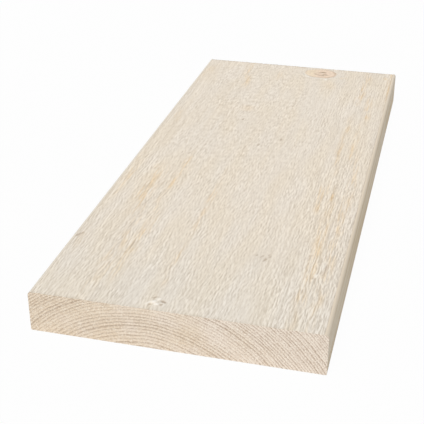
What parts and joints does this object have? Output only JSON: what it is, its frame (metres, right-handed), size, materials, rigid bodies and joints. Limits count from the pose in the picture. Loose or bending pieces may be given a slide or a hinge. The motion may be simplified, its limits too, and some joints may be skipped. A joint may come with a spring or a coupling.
{
  "type": "timber lumber plank",
  "caption": "Short straight length of pale softwood board with a fine-sawn face, planed edges and back, rounded face arrises and square-cut ends showing the growth rings.",
  "frame": {"origin": "middle of the back, which is the face that the board lies on", "axes": "+Y along the grain and the length, +X across the width, +Z from the back to the sawn face"},
  "size_m": [0.145, 0.35, 0.022],
  "materials": {
    "timber": "fine-sawn, untreated"
  },
  "bodies": {
    "root": {"plank": "timber"}
  },
  "joints": []
}
